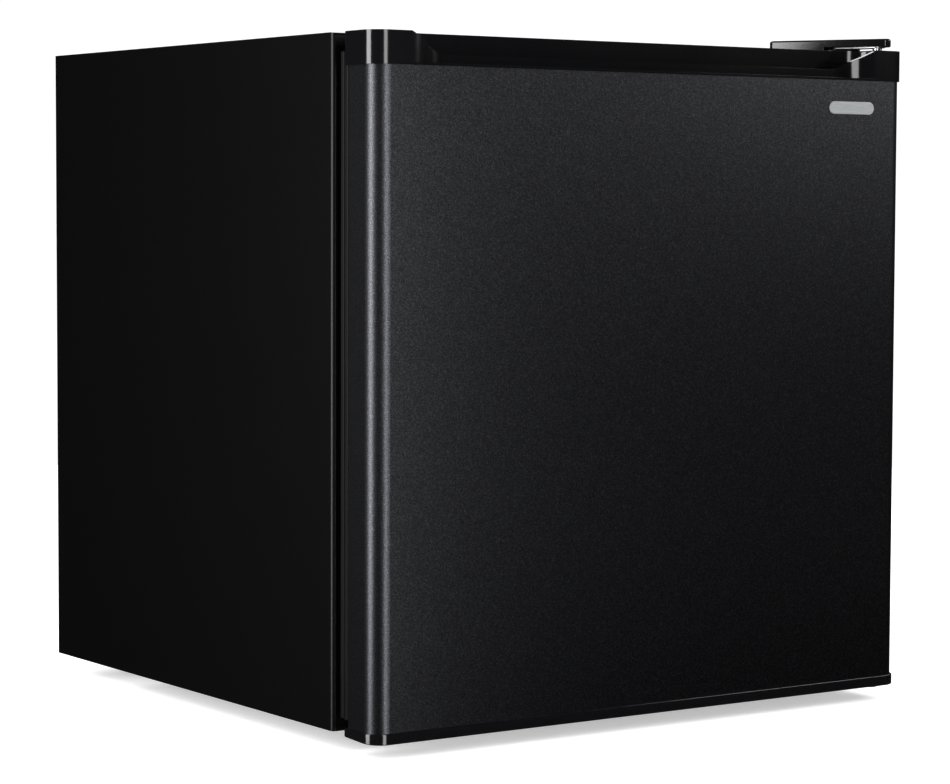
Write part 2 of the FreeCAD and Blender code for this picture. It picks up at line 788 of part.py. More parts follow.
def drip_tray():
    """Shallow open tray with a flange each side that runs in the rails."""
    x0 = BOX_LEFT + 1 + 9 + 0.6
    x1 = BOX_RIGHT - 1 - 9 - 0.6
    y1 = BOX_BACK - 12
    bottom = TRAY_TOP - TRAY_HEIGHT
    outer = block(x0, x1, TRAY_FRONT, y1, bottom, TRAY_TOP)
    outer = outer.makeFillet(6, upright_edges(outer, [(x0, y1), (x1, y1)]))
    hollow = block(x0 + 1.8, x1 - 1.8, TRAY_FRONT + 2.2, y1 - 1.8, bottom + 1.8, TRAY_TOP + 1)
    hollow = hollow.makeFillet(4, upright_edges(hollow, [(x0 + 1.8, y1 - 1.8), (x1 - 1.8, y1 - 1.8)]))
    tray = outer.cut(hollow)
    flanges = [
        block(x0 - 6.5, x0, TRAY_FRONT + 12, y1 - 8, TRAY_TOP - 3, TRAY_TOP - 1),
        block(x1, x1 + 6.5, TRAY_FRONT + 12, y1 - 8, TRAY_TOP - 3, TRAY_TOP - 1),
    ]
    fascia = block(x0 - 8, x1 + 8, TRAY_FRONT - 3, TRAY_FRONT, bottom - 2, TRAY_TOP + 4)
    grip = block(-130.0, -50.0, TRAY_FRONT - 9, TRAY_FRONT - 3, bottom - 2, bottom + 1)
    return join([tray, fascia, grip] + flanges)


# --- shelf ---------------------------------------------------------------------------------
SHELF_SIDE = ROOM_X - 1.2
SHELF_BACK = ROOM_BACK - 4.0
GLASS_THICK = 4.0


def shelf_glass():
    return block(
        -SHELF_SIDE + 2,
        SHELF_SIDE - 2,
        SHELF_FRONT + 4,
        SHELF_BACK - 4,
        SHELF_Z,
        SHELF_Z + GLASS_THICK,
    )


def shelf_trim(front):
    """Moulded edge strip that grips the glass."""
    if front:
        y0, y1, rise = SHELF_FRONT, SHELF_FRONT + 16, 3.0
    else:
        y0, y1, rise = SHELF_BACK - 14, SHELF_BACK, 8.0
    outer = block(-SHELF_SIDE, SHELF_SIDE, y0, y1, SHELF_Z - 0.6, SHELF_Z + GLASS_THICK + rise)
    if front:
        nose = [
            e
            for e in outer.Edges
            if abs(e.CenterOfMass.y - y0) < 1e-3 and abs(e.CenterOfMass.x) < 1e-3
        ]
        outer = outer.makeFillet(2.5, nose)
        outer = outer.cut(
            block(-HALF, HALF, y0 + 8, y1 + 1, SHELF_Z + GLASS_THICK + 1.4, SHELF_Z + 20)
        )
    return outer.cut(shelf_glass())


# --- thermostat ----------------------------------------------------------------------------
def thermostat_housing():
    """Moulded box on the right wall that holds the control."""
    x0 = KNOB_X
    outer = block(x0, ROOM_X, KNOB_Y - 34, KNOB_Y + 46, KNOB_Z - 30, KNOB_Z + 32)
    outer = outer.makeFillet(5, [e for e in outer.Edges if abs(e.CenterOfMass.x - x0) < 1e-3])
    hollow = block(x0 + 2, ROOM_X, KNOB_Y - 32, KNOB_Y + 44, KNOB_Z - 28, KNOB_Z + 30)
    shell = outer.cut(hollow)
    shaft_hole = rod(x0 - 2, KNOB_Y, KNOB_Z, 5.0, 6, V(1, 0, 0))
    line_hole = rod(x0 + 10, KNOB_Y + 43, KNOB_Z + 10, 1.6, 5, V(0, 1, 0))
    return shell.cut(shaft_hole).cut(line_hole)


def thermostat_body():
    """Switch and bellows case behind the knob."""
    case = block(KNOB_X + 5, ROOM_X - 0.5, KNOB_Y - 18, KNOB_Y + 22, KNOB_Z - 14, KNOB_Z + 20)
    return case.cut(rod(KNOB_X + 4, KNOB_Y, KNOB_Z, SHAFT_R + RUNNING, 13, V(1, 0, 0)))


def sensor_tube():
    """Capillary of the control, led over to the side of the freezer box."""
    points = (
        (KNOB_X + 10, KNOB_Y + 22, KNOB_Z + 10),
        (KNOB_X + 10, 160.0, KNOB_Z + 10),
        (BOX_RIGHT + 1.2, 160.0, KNOB_Z + 10),
        (BOX_RIGHT + 1.2, 20.0, KNOB_Z + 10),
    )
    return pipe(points, 1.1, 12.0)


SHAFT_R = 3.0


def thermostat_knob():
    """Round knob with a grip bar and a shaft running into the control."""
    face = KNOB_X - CLEARANCE
    dial = rod(face - 8, KNOB_Y, KNOB_Z, KNOB_R, 8, V(1, 0, 0))
    skirt = [e for e in dial.Edges if abs(e.CenterOfMass.x - face + 8) < 1e-3]
    dial = dial.makeFillet(1.5, skirt)
    grip = block(face - 17, face - 7, KNOB_Y - 3.5, KNOB_Y + 3.5, KNOB_Z - 15, KNOB_Z + 15)
    shaft = rod(face - 8, KNOB_Y, KNOB_Z, SHAFT_R, 24, V(1, 0, 0))
    return join([dial, grip, shaft])


# --- feet ------------------------------------------------------------------------------------
def levelling_foot(x):
    """Pad moulded on a threaded stud that screws up into the base."""
    pad = rod(x, FOOT_FRONT_Y, 0, FOOT_R, BASE - 3.0)
    pad = pad.makeChamfer(1.5, edges_at(pad, 0.0))
    return join([pad, rod(x, FOOT_FRONT_Y, BASE - 3.0, STUD_R, 18.0)])


def foot_nuts():
    """Weld nuts above the base sheet that take the levelling studs."""
    nuts = []
    for name, x in FOOT_SPOTS:
        outside = rod(x, FOOT_FRONT_Y, BASE + STEEL, 7.8, 8)
        nuts.append(outside.cut(rod(x, FOOT_FRONT_Y, BASE, STUD_R + RUNNING, 12)))
    return group(nuts)


def rear_feet():
    """Fixed moulded feet pushed into the rear cross rail."""
    feet = []
    for name, x in FOOT_SPOTS:
        pad = rod(x, FOOT_BACK_Y, 0, FOOT_R, BASE)
        pad = pad.makeChamfer(1.5, edges_at(pad, 0.0))
        feet.append(pad.fuse(rod(x, FOOT_BACK_Y, BASE, 3.0, 5)))
    return group(feet)


# --- hinges -----------------------------------------------------------------------------------
PLATE = 2.2
HINGE_STEP = 2.8
COVER_TOP = TOP + 9.3
COVER_LOW = TOP + 3.6


def hull_outline(circles, z0, z1):
    """Upright solid round a chain of (x, y, radius) circles: their convex hull."""
    count = len(circles)
    solids = [rod(x, y, z0, r, z1 - z0) for x, y, r in circles]
    middle = []
    for i in range(count):
        ax, ay, ar = circles[i]
        bx, by, br = circles[(i + 1) % count]
        gap = math.hypot(bx - ax, by - ay)
        lean = math.atan2(by - ay, bx - ax) - math.acos((ar - br) / gap)
        nx, ny = math.cos(lean), math.sin(lean)
        strip = [
            (ax, ay, z0),
            (ax + ar * nx, ay + ar * ny, z0),
            (bx + br * nx, by + br * ny, z0),
            (bx, by, z0),
        ]
        solids.append(prism(strip, V(0, 0, z1 - z0)))
        middle.append((ax, ay, z0))
    if count > 2:
        solids.append(prism(middle, V(0, 0, z1 - z0)))
    return join(solids)


# circles (x, y, radius) that bound the plan of the top hinge cover, anticlockwise from the nose
COVER_PLAN = (
    (PIN_X, PIN_Y - 8.5, 4.0),
    (HALF - 5.0, PIN_Y - 1.5, 4.0),
    (HALF - 5.0, FLANGE + 41.5, 4.0),
    (HALF - 53.0, FLANGE + 36.5, 4.0),
)
COVER_WALL = 1.8


def shrink(circles, inset):
    return tuple((x, y, r - inset) for x, y, r in circles)


def top_hinge_bracket():
    """Stamped plate, flat on the cabinet and stepped up over the door."""
    rear = hull_outline(
        ((204.0, FLANGE + 6.0, 4.0), (218.0, FLANGE + 6.0, 4.0), (217.0, FLANGE + 36.0, 5.0),
         (191.0, FLANGE + 33.0, 5.0)),
        TOP,
        TOP + PLATE,
    )
    nose = hull_outline(
        ((PIN_X, PIN_Y, 5.6), (218.0, FLANGE + 4.0, 4.0), (206.0, FLANGE + 4.0, 4.0)),
        TOP + HINGE_STEP,
        TOP + HINGE_STEP + PLATE,
    )
    riser = block(204.0, 219.0, FLANGE + 2.4, FLANGE + 6.4, TOP, TOP + HINGE_STEP + PLATE)
    plate = join([rear, nose, riser])
    for x, y in TOP_SCREWS:
        plate = plate.cut(rod(x, y, TOP - 1, SCREW_R + 0.1, 8))
    return plate.cut(rod(PIN_X, PIN_Y, TOP - 1, PIN_R, 12))


def top_hinge_pin():
    """Stepped pin riveted in the top bracket and pointing down into the door."""
    head = rod(PIN_X, PIN_Y, TOP + HINGE_STEP + PLATE, 5.0, 1.2)
    shank = rod(PIN_X, PIN_Y, TOP - 13.0, PIN_R, 13.0 + HINGE_STEP + PLATE)
    return join([head, shank])


def top_hinge_cover():
    """Moulded cover over the top bracket: open below, cut away over the door."""
    outer = hull_outline(COVER_PLAN, TOP, COVER_TOP)
    rim = edges_at(outer, COVER_TOP)
    outer = outer.makeFillet(1.6, rim)
    inner = hull_outline(shrink(COVER_PLAN, COVER_WALL), TOP - 1, COVER_TOP - COVER_WALL)
    door_gap = block(150.0, 240.0, DOOR_FRONT - 5, FLANGE + 0.5, TOP - 1, COVER_LOW)
    return outer.cut(inner).cut(door_gap)


def top_hinge_screws():
    return [screw(x, y, TOP + PLATE, 3.8, SCREW_R - 0.1, 14, V(0, 0, 1)) for x, y in TOP_SCREWS]


PLATE_LOW = DOOR_BOTTOM - 2.4
LOW_PLATE = 2.0


def bottom_hinge_bracket():
    """Stamped plate under the cabinet, stepped down to run under the door."""
    nose = hull_outline(
        ((PIN_X, PIN_Y, 9.0), (221.0, FLANGE - 2.0, 6.0), (181.0, FLANGE - 2.0, 6.0)),
        PLATE_LOW,
        PLATE_LOW + LOW_PLATE,
    )
    riser = block(176.0, 226.0, FLANGE - 1.0, FLANGE + 3.0, PLATE_LOW, BASE)
    rear = block(176.0, 226.0, FLANGE - 1.0, FLANGE + 40.0, BASE - LOW_PLATE, BASE)
    rear = rear.makeFillet(6, upright_edges(rear, [(176.0, FLANGE + 40.0), (226.0, FLANGE + 40.0)]))
    plate = join([nose, riser, rear])
    for x, y in BOTTOM_SCREWS:
        plate = plate.cut(rod(x, y, BASE - 4, SCREW_R + 0.1, 8))
    foot_room = rod(FOOT_X, FOOT_FRONT_Y, BASE - 4, FOOT_R + 2.0, 8)
    return plate.cut(foot_room).cut(rod(PIN_X, PIN_Y, PLATE_LOW - 1, PIN_R, 12))


def bottom_hinge_pin():
    """Pin riveted in the bottom bracket and pointing up into the door."""
    head = rod(PIN_X, PIN_Y, PLATE_LOW - 1.2, 5.0, 1.2)
    shank = rod(PIN_X, PIN_Y, PLATE_LOW, PIN_R, LOW_PLATE + 12.0)
    return join([head, shank])


def bottom_hinge_screws():
    under = BASE - LOW_PLATE
    return [screw(x, y, under, 3.8, SCREW_R - 0.1, 12, V(0, 0, -1)) for x, y in BOTTOM_SCREWS]


def hole_plugs():
    """Push-in caps in the spare hinge holes on the other side."""
    plugs = []
    for x, y in TOP_SCREWS:
        cap = rod(-x, y, TOP, 4.5, 1.2)
        plugs.append(cap.fuse(rod(-x, y, TOP - 7, SCREW_R, 7)))
    for x, y in BOTTOM_SCREWS:
        cap = rod(-x, y, BASE - 1.2, 4.5, 1.2)
        plugs.append(cap.fuse(rod(-x, y, BASE, SCREW_R, 7)))
    return group(plugs)


# --- door ---------------------------------------------------------------------------------------
SKIN_SIDE = HALF - PANEL_INSET
SKIN_FRONT = DOOR_FRONT + 0.7
SKIN_BACK = DOOR_BACK - SHEET
SCOOP_TOP_HALF = 200.0
SCOOP_LOW_HALF = 171.0
SCOOP_SETBACK = 12.0
SCOOP_FLOOR = PANEL_TOP + 1.5
SCOOP_BACK = DOOR_FRONT + 26.0
LIP_TOP = DOOR_TOP - 14.2
LIP = 3.0
NOTCH_BEND = 9.0
NOTCH_OVER = 2.0
POCKET_FLOOR = PANEL_TOP + 3.0
CAP_WALL = 2.2


def door_plan(z0, z1, inset, front, back):
    """Upright slab with the plan of the door, rounded at its front corners."""
    side = HALF - inset
    return rounded_block(
        -side, side, front, back, z0, z1, DOOR_CORNER_RADIUS - inset * 0.5, 2.0
    )


def bush_hole(z0, z1):
    return rod(PIN_X, PIN_Y, z0, BUSH_R, z1 - z0)


def swept_end(side, back):
    """Two equal tangent arcs, from the front plane back to the lip, at one end of the scoop."""
    run = (SCOOP_TOP_HALF - SCOOP_LOW_HALF) / 2
    drop = SCOOP_SETBACK / 2
    radius = (run * run + drop * drop) / (2 * drop)
    turn = math.asin(run / radius)
    far = radius * math.sin(turn / 2)
    rise = radius * (1 - math.cos(turn / 2))
    start = V(side * SCOOP_TOP_HALF, DOOR_FRONT + back, 0)
    middle = V(side * (SCOOP_TOP_HALF - run), DOOR_FRONT + drop + back, 0)
    end = V(side * SCOOP_LOW_HALF, DOOR_FRONT + SCOOP_SETBACK + back, 0)
    first = Part.Arc(start, start + V(-side * far, rise, 0), middle)
    second = Part.Arc(middle, end + V(side * far, -rise, 0), end)
    return [first.toShape(), second.toShape()]


def swept_line(back):
    """The plan of the lip, from one end of the scoop to the other, moved back a little."""
    y = DOOR_FRONT + SCOOP_SETBACK + back
    middle = Part.LineSegment(V(-SCOOP_LOW_HALF, y, 0), V(SCOOP_LOW_HALF, y, 0)).toShape()
    return swept_end(-1, back) + [middle] + swept_end(1, back)


def upright_from(edges, z0, z1):
    """Upright solid on a closed plan, whose edges may come in any order."""
    outline = Part.Wire(Part.__sortEdges__(edges))
    shape = Part.Face(outline).extrude(V(0, 0, z1 - z0))
    shape.translate(V(0, 0, z0))
    return shape


def scoop():
    """The space in front of the lip, with a plan that sweeps out at both ends."""
    front = DOOR_FRONT - 1
    corners = [
        V(SCOOP_TOP_HALF, DOOR_FRONT, 0),
        V(SCOOP_TOP_HALF, front, 0),
        V(-SCOOP_TOP_HALF, front, 0),
        V(-SCOOP_TOP_HALF, DOOR_FRONT, 0),
    ]
    sides = [Part.LineSegment(a, b).toShape() for a, b in zip(corners, corners[1:])]
    return upright_from(sides + swept_line(0.0), SCOOP_FLOOR, DOOR_TOP + 1)


def lip_notch():
    """The dip in the top edge that leaves the lip low along the middle."""
    flare = (SCOOP_TOP_HALF - SCOOP_LOW_HALF) * NOTCH_OVER / (DOOR_TOP - LIP_TOP)
    front = DOOR_FRONT - 1
    outline = [
        (-SCOOP_TOP_HALF - flare, front, DOOR_TOP + NOTCH_OVER),
        (-SCOOP_LOW_HALF, front, LIP_TOP),
        (SCOOP_LOW_HALF, front, LIP_TOP),
        (SCOOP_TOP_HALF + flare, front, DOOR_TOP + NOTCH_OVER),
    ]
    notch = prism(outline, V(0, DOOR_FRONT + SCOOP_SETBACK + LIP - front, 0))
    bends = [
        edge
        for edge in notch.Edges
        if abs(edge.CenterOfMass.z - LIP_TOP) < 1e-3
        and abs(abs(edge.CenterOfMass.x) - SCOOP_LOW_HALF) < 1e-3
    ]
    return notch.makeFillet(NOTCH_BEND, bends)


def finger_pocket():
    """The slot behind the lip that the fingertips go down into, round at both ends."""
    radius = SCOOP_BACK - DOOR_FRONT - LIP
    half = SCOOP_TOP_HALF - radius
    slant = radius * math.sqrt(0.5)
    rear = [Part.LineSegment(V(-half, SCOOP_BACK, 0), V(half, SCOOP_BACK, 0)).toShape()]
    for side in (-1, 1):
        start = V(side * half, SCOOP_BACK, 0)
        middle = V(side * (half + slant), DOOR_FRONT + LIP + slant, 0)
        end = V(side * SCOOP_TOP_HALF, DOOR_FRONT + LIP, 0)
        rear.append(Part.Arc(start, middle, end).toShape())
    return upright_from(rear + swept_line(LIP), POCKET_FLOOR, DOOR_TOP + 1)


def door_top_cap():
    """Moulded top end with the finger pull let into its front edge."""
    cap = door_plan(PANEL_TOP, DOOR_TOP, 0.0, DOOR_FRONT, DOOR_BACK)
    cap = cap.cut(scoop()).cut(lip_notch()).cut(finger_pocket())
    roof = DOOR_TOP - CAP_WALL
    hollow = block(
        -214.0, 204.0, SCOOP_BACK + CAP_WALL, DOOR_BACK - CAP_WALL, PANEL_TOP, roof
    )
    left_core = block(-222.0, -204.0, DOOR_FRONT + 8, SCOOP_BACK, PANEL_TOP, roof)
    cap = cap.cut(hollow).cut(left_core)
    return cap.cut(bush_hole(DOOR_TOP - BUSH_DEPTH, DOOR_TOP + 1))


def door_bottom_cap():
    """Moulded bottom end, its underside rising slightly to the back."""
    cap = door_plan(DOOR_BOTTOM, PANEL_BOTTOM, 0.0, DOOR_FRONT, DOOR_BACK)
    wedge = prism(
        [
            (-HALF - 1, DOOR_FRONT - 1, DOOR_BOTTOM - 3),
            (-HALF - 1, DOOR_FRONT - 1, DOOR_BOTTOM),
            (-HALF - 1, DOOR_BACK + 1, DOOR_BOTTOM + 1.9),
            (-HALF - 1, DOOR_BACK + 1, DOOR_BOTTOM - 3),
        ],
        V(WIDTH + 2, 0, 0),
    )
    hollow = block(
        -222.0, 206.0, DOOR_FRONT + 13, DOOR_BACK - 3, DOOR_BOTTOM + 4.2, PANEL_BOTTOM
    )
    cap = cap.cut(wedge).cut(hollow)
    return cap.cut(bush_hole(DOOR_BOTTOM - 1, PANEL_BOTTOM + 1))


def door_skin():
    """Painted steel front, wrapped round both sides and folded in at the back."""
    outside = door_plan(PANEL_BOTTOM, PANEL_TOP, PANEL_INSET, SKIN_FRONT, SKIN_BACK)
    inside = rounded_block(
        -SKIN_SIDE + STEEL,
        SKIN_SIDE - STEEL,
        SKIN_FRONT + STEEL,
        SKIN_BACK - STEEL,
        PANEL_BOTTOM,
        PANEL_TOP,
        DOOR_CORNER_RADIUS - PANEL_INSET * 0.5 - STEEL,
        1.4,
    )
    window = block(
        -SKIN_SIDE + 14, SKIN_SIDE - 14, SKIN_BACK - 2, SKIN_BACK + 1, PANEL_BOTTOM, PANEL_TOP
    )
    return outside.cut(inside).cut(window).cut(badge_pins(0.0))


def dyke(grow, reach):
    """The raised ring of the door liner, as a solid grown by the given amount."""
    outer = block(
        -DYKE_OUT - grow, DYKE_OUT + grow, SKIN_BACK, DOOR_BACK + reach,
        DYKE_LOW - grow, DYKE_HIGH + grow,
    )
    inner = block(
        -DYKE_IN + grow, DYKE_IN - grow, SKIN_BACK - 1.0, DOOR_BACK + reach + 1,
        DYKE_LOW + 14 + grow, DYKE_HIGH - 14 - grow,
    )
    raised = outer.cut(inner)
    return raised.makeFillet(DYKE_ROUND + grow, edges_behind(raised, SKIN_BACK))


def door_liner():
    """White inner sheet of the door, with a raised ring and rack ledges."""
    sheet = block(
        -SKIN_SIDE + 2, SKIN_SIDE - 2, SKIN_BACK, DOOR_BACK, PANEL_BOTTOM + 1.5, PANEL_TOP - 1.5
    )
    liner = sheet.fuse(dyke(0.0, DYKE_REACH)).cut(dyke(-SHEET, DYKE_REACH - SHEET))
    ledges = []
    for name, low, height, reach in RACKS:
        for side in (-1, 1):
            x0, x1 = sorted((side * DYKE_IN, side * (DYKE_IN - 12)))
            ledges.append(block(x0, x1, DOOR_BACK, DOOR_BACK + 24, low - 6, low - CLEARANCE))
    return join([liner] + ledges)


def door_foam():
    """Foamed insulation of the door, between the steel front and the liner."""
    core = rounded_block(
        -SKIN_SIDE + STEEL,
        SKIN_SIDE - STEEL,
        SKIN_FRONT + STEEL,
        SKIN_BACK - STEEL,
        PANEL_BOTTOM,
        PANEL_TOP,
        DOOR_CORNER_RADIUS - PANEL_INSET * 0.5 - STEEL,
        1.4,
    )
    back = block(
        -SKIN_SIDE + 14, SKIN_SIDE - 14, SKIN_BACK - 2, SKIN_BACK, PANEL_BOTTOM, PANEL_TOP
    )
    ring_core = dyke(-SHEET, DYKE_REACH - SHEET)
    foam = join([core, back, ring_core])
    return foam.cut(badge_pins(0.0)).cut(bush_hole(PANEL_BOTTOM - 1, PANEL_BOTTOM + 8))


def door_bush(top):
    """Plastic bearing sleeve pressed into an end cap."""
    if top:
        z0, z1 = DOOR_TOP - BUSH_DEPTH, DOOR_TOP
    else:
        z0, z1 = DOOR_BOTTOM + 1.2, PANEL_BOTTOM + 7.5
    return ring(PIN_X, PIN_Y, z0, BUSH_R - 0.02, PIN_R + RUNNING, z1 - z0)


GASKET_OUT_X = HALF - 3.0
GASKET_TOP = DOOR_TOP - 12.0
GASKET_LOW = DOOR_BOTTOM + 12.0
GASKET_WIDTH = 30.0
GASKET_FACE = FLANGE - CLEARANCE
BULGE_INSET = 10.0


def frame_ring(inset_out, inset_in, y0, y1):
    """A rectangular ring that follows the edge of the door."""
    outer = block(
        -GASKET_OUT_X + inset_out, GASKET_OUT_X - inset_out, y0, y1,
        GASKET_LOW + inset_out, GASKET_TOP - inset_out,
    )
    inner = block(
        -GASKET_OUT_X + inset_in, GASKET_OUT_X - inset_in, y0 - 1, y1 + 1,
        GASKET_LOW + inset_in, GASKET_TOP - inset_in,
    )
    return outer.cut(inner)


def door_gasket():
    """Magnetic door seal: a bellows strip all round, with a hollow for the magnet."""
    base = frame_ring(0.0, GASKET_WIDTH, DOOR_BACK, DOOR_BACK + 4.0)
    waist = frame_ring(3.0, GASKET_WIDTH - 8, DOOR_BACK + 3.0, DOOR_BACK + 6.0)
    bulge = frame_ring(0.5, GASKET_WIDTH - 6, DOOR_BACK + 5.5, DOOR_BACK + 9.5)
    head = frame_ring(BULGE_INSET, GASKET_WIDTH - 7, DOOR_BACK + 9.0, GASKET_FACE)
    seal = join([base, waist, bulge, head])
    return seal.cut(door_magnet())


def door_magnet():
    """Flexible magnet strip inside the head of the seal."""
    return frame_ring(BULGE_INSET + 1.5, GASKET_WIDTH - 8.5, DOOR_BACK + 9.6, GASKET_FACE - 1.0)


BADGE_X = 177.0
BADGE_Z = BASE + 419.0
BADGE_LENGTH = 42.0
BADGE_HEIGHT = 9.0
BADGE_THICK = 0.7 + BADGE_PROUD
BADGE_PIN_R = 1.3


def badge_pins(slack):
    pins = []
    for side in (-1, 1):
        x = BADGE_X + side * 12
        pins.append(rod(x, SKIN_FRONT, BADGE_Z, BADGE_PIN_R + slack, 6, V(0, 1, 0)))
    return group(pins)


def badge():
    """Plain blank name plate with rounded ends."""
    radius = BADGE_HEIGHT / 2
    reach = BADGE_LENGTH / 2 - radius
    y0 = SKIN_FRONT - BADGE_THICK
    parts = [
        rod(BADGE_X - reach, y0, BADGE_Z, radius, BADGE_THICK, V(0, 1, 0)),
        rod(BADGE_X + reach, y0, BADGE_Z, radius, BADGE_THICK, V(0, 1, 0)),
        block(BADGE_X - reach, BADGE_X + reach, y0, SKIN_FRONT, BADGE_Z - radius, BADGE_Z + radius),
    ]
    plate = join(parts)
    return join([plate] + badge_pins(0.0).Solids)


def door_rack(low, height, reach):
    """Open rack between the raised sides of the door liner."""
    y0 = DOOR_BACK + CLEARANCE
    y1 = DOOR_BACK + reach
    wall = 2.0
    outer = block(-RACK_HALF, RACK_HALF, y0, y1, low, low + height)
    outer = outer.makeFillet(7.0, upright_edges(outer, [(-RACK_HALF, y1), (RACK_HALF, y1)]))
    hollow = block(
        -RACK_HALF + wall, RACK_HALF - wall, y0 + wall, y1 - wall, low + wall, low + height + 1
    )
    spots = [(-RACK_HALF + wall, y1 - wall), (RACK_HALF - wall, y1 - wall)]
    hollow = hollow.makeFillet(5.0, upright_edges(hollow, spots))
    return outer.cut(hollow)


# --- all nodes -------------------------------------------------------------------------------------
def nodes():
    parts = {
        "outer_wrap": outer_wrap(),
        "bottom_panel": bottom_panel(),
        "bay_plate": bay_plate(),
        "back_panel": back_panel(),
        "fill_plug": fill_plug(),
        "panel_screws": group(back_screws() + hanger_screws()),
        "inner_liner": inner_liner(),
        "cabinet_foam": cabinet_foam(),
        "condenser_tubes": condenser_tubes(),
        "base_rails": base_rails(),
        "grommets": grommets(),
        "mount_bolts": mount_bolts(),
        "compressor_feet": pump_feet(),
        "compressor_lower_shell": pump_shell(True),
        "compressor_upper_shell": pump_shell(False),
        "terminals": terminals(),
        "start_relay": start_relay(),
        "overload_protector": overload(),
        "terminal_cover": terminal_cover(),
        "cord_gland": cord_gland(),
        "condenser_lines": group([discharge_line(), drier_inlet()]),
        "process_tube": process_tube(),
        "suction_line": suction_line(),
        "filter_drier": filter_drier(),
        "capillary_tube": capillary_tube(),
        "evaporator": evaporator(),
        "hanger_spacers": hanger_spacers(),
        "freezer_frame": freezer_frame(),
        "freezer_flap": freezer_flap(),
        "tray_rails": tray_rails(),
        "drip_tray": drip_tray(),
        "shelf_glass": shelf_glass(),
        "shelf_front_trim": shelf_trim(True),
        "shelf_rear_trim": shelf_trim(False),
        "thermostat_housing": thermostat_housing(),
        "thermostat_body": thermostat_body(),
        "thermostat_knob": thermostat_knob(),
        "sensor_tube": sensor_tube(),
        "foot_nuts": foot_nuts(),
        "rear_feet": rear_feet(),
        "top_hinge_bracket": top_hinge_bracket(),
        "top_hinge_cover": top_hinge_cover(),
        "bottom_hinge_bracket": bottom_hinge_bracket(),
        "hinge_pins": group([top_hinge_pin(), bottom_hinge_pin()]),
        "hinge_screws": group(top_hinge_screws() + bottom_hinge_screws()),
        "hole_plugs": hole_plugs(),
        "door_skin": door_skin(),
        "door_top_cap": door_top_cap(),
        "door_bottom_cap": door_bottom_cap(),
        "door_foam": door_foam(),
        "door_liner": door_liner(),
        "door_bushes": group([door_bush(True), door_bush(False)]),
        "door_gasket": door_gasket(),
        "door_magnet": door_magnet(),
        "badge": badge(),
    }
    for name, x in FOOT_SPOTS:
        parts["levelling_foot_" + name] = levelling_foot(x)
    for name, low, height, reach in RACKS:
        parts["door_rack_" + name] = door_rack(low, height, reach)
    return parts


os.makedirs("parts", exist_ok=True)
for node, shape in nodes().items():
    if not shape.isValid() or shape.Volume <= 0:
        print("bad shape:", node)
    shape.exportStep("parts/" + node + ".step")
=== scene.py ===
"""Looks of the compact cube refrigerator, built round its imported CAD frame."""
import bmesh
import bpy
import json
import math
from mathutils import Matrix, Vector


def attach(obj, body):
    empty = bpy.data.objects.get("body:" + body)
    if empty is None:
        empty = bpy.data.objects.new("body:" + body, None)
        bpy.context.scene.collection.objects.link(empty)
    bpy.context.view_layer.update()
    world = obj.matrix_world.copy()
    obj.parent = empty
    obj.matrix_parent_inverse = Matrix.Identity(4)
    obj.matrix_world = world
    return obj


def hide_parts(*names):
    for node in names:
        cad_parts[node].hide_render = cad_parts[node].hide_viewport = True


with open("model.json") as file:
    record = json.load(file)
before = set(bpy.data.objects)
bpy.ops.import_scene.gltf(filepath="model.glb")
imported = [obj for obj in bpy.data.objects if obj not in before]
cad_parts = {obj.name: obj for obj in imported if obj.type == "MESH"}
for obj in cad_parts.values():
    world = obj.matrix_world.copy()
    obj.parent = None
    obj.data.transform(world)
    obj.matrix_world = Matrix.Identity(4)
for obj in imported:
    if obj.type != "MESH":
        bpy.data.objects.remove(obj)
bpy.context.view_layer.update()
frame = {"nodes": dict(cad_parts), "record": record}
NODES = frame["nodes"]
BODY_OF = {
    node: body
    for body, members in frame["record"]["behaviour"]["bodies"].items()
    for node in members
}
MM = 0.001

# camera: metres, degrees and millimetres of lens
CAMERA_PLACE = (-1.23591, -1.811305, 0.36546)
CAMERA_YAW = 34.434
CAMERA_PITCH = 3.7485
CAMERA_ROLL = 0.2206
LENS = 110.607
SENSOR = 36.0
FAR_CLIP = 50.0

# stage
FLOOR_RADIUS = 1.9
FLOOR_GLOW = 0.45
FLOOR_DARK = (0.88, 0.88, 0.88)
FLOOR_LIGHT = (0.90, 0.90, 0.90)
WORLD_LEVEL = 1.12
WORLD_LEVEL_IN_GLOSS = 0.02

# the places that the lamps point at
HALF_WIDTH = 0.23
LEFT_CORNER = (-HALF_WIDTH, -HALF_WIDTH, 0.25)
UPPER_RIGHT = (0.2, -HALF_WIDTH, 0.4)
LOW_FRONT = (0.1, -HALF_WIDTH, 0.1)
MIDDLE = (0.0, 0.1, 0.25)

# lamps: name, aim, azimuth in degrees, height, distance, (width, length), watts
LAMPS = (
    ("front_strip", LEFT_CORNER, -6.0, 0.30, 0.45, (0.15, 1.0), 3.4),
    ("left_strip", LEFT_CORNER, 97.0, 0.40, 0.9, (0.42, 1.2), 17.0),
    ("far_high", UPPER_RIGHT, -50.0, 0.85, 1.3, (0.5, 0.4), 5.4),
    ("low_fill", LOW_FRONT, -40.0, 0.04, 0.8, (0.8, 0.06), 0.02),
    ("back_right", MIDDLE, -150.0, 1.1, 2.0, (1.0, 1.2), 14.0),
    ("right_side", MIDDLE, -95.0, 1.4, 2.0, (1.0, 0.9), 8.0),
)

# noise: the part of its range that is used, and how broad the slow variations are
NOISE_LOW = 0.3
NOISE_HIGH = 0.7
BROAD_FACTOR = 40.0
WAVE_SCALE = 9.0

# paint of the door
FLAKE_SCALE = 1400.0
FLAKE_STOPS = (
    (0.32, (0.030, 0.030, 0.033)),
    (0.54, (0.050, 0.051, 0.056)),
    (0.74, (0.098, 0.101, 0.113)),
)
FLAKE_ROUGH = (0.35, 0.40)
FLAKE_RELIEF = 0.00002
PANEL_WAVE_SCALE = 7.0
PANEL_WAVE = 0.0003

